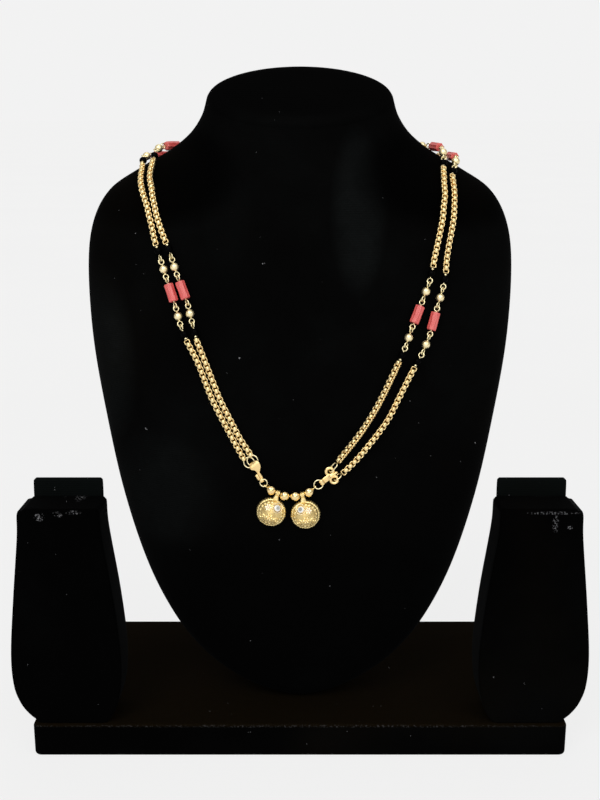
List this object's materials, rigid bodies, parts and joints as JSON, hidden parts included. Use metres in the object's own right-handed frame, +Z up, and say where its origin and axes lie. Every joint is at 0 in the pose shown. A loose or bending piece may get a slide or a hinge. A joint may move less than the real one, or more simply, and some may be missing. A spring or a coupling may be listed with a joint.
{
  "type": "mangalsutra on a neck bust display stand",
  "caption": "Short two-strand necklace of box chain, black, gold and coral beads with two small bowl pendants, worn by a velvet neck bust on its base with two side blocks.",
  "frame": {"origin": "under the middle of the base board, on the surface that it stands on", "axes": "+Z up, the front of the bust towards -Y, +X to the right as seen from the front"},
  "size_m": [0.2442, 0.1, 0.287],
  "materials": {
    "velvet": "black velvet",
    "gold": "gold plate, bright",
    "gold_satin": "gold plate, satin",
    "coral": "coral red resin, fluted",
    "black_glass": "glossy black",
    "stone": "white cut stone"
  },
  "bodies": {
    "root": {"base_board": "velvet", "bust": "velvet", "stand_left": "velvet", "stand_right": "velvet", "flap_left": "velvet", "flap_right": "velvet", "chain_lower_left_outer": "gold", "chain_lower_left_inner": "gold", "chain_lower_right_inner": "gold", "chain_lower_right_outer": "gold", "chain_upper_left_outer": "gold", "chain_upper_left_inner": "gold", "chain_upper_right_inner": "gold", "chain_upper_right_outer": "gold", "chain_back_outer": "gold", "chain_back_inner": "gold", "coral_front_left_outer": "coral", "coral_front_left_inner": "coral", "coral_front_right_inner": "coral", "coral_front_right_outer": "coral", "coral_back_left_outer": "coral", "coral_back_left_inner": "coral", "coral_back_right_inner": "coral", "coral_back_right_outer": "coral", "gold_beads_left_outer": "gold_satin", "gold_beads_left_inner": "gold_satin", "gold_beads_right_inner": "gold_satin", "gold_beads_right_outer": "gold_satin", "black_beads_left_outer": "black_glass", "black_beads_left_inner": "black_glass", "black_beads_right_inner": "black_glass", "black_beads_right_outer": "black_glass", "eye_pins_left_outer": "gold", "eye_pins_left_inner": "gold", "eye_pins_right_inner": "gold", "eye_pins_right_outer": "gold", "ring_left_outer": "gold", "ring_left_inner": "gold", "hook_left": "gold", "link_left": "gold", "pendant_wire": "gold", "pendant_bead_1": "gold", "pendant_bead_2": "gold", "pendant_bead_3": "gold", "pendant_bead_4": "gold", "vati_left": "gold", "vati_right": "gold", "stone_left": "stone", "stone_right": "stone", "link_right": "gold", "hook_right": "gold", "end_link_right_inner": "gold", "end_link_right_outer": "gold"}
  },
  "joints": []
}
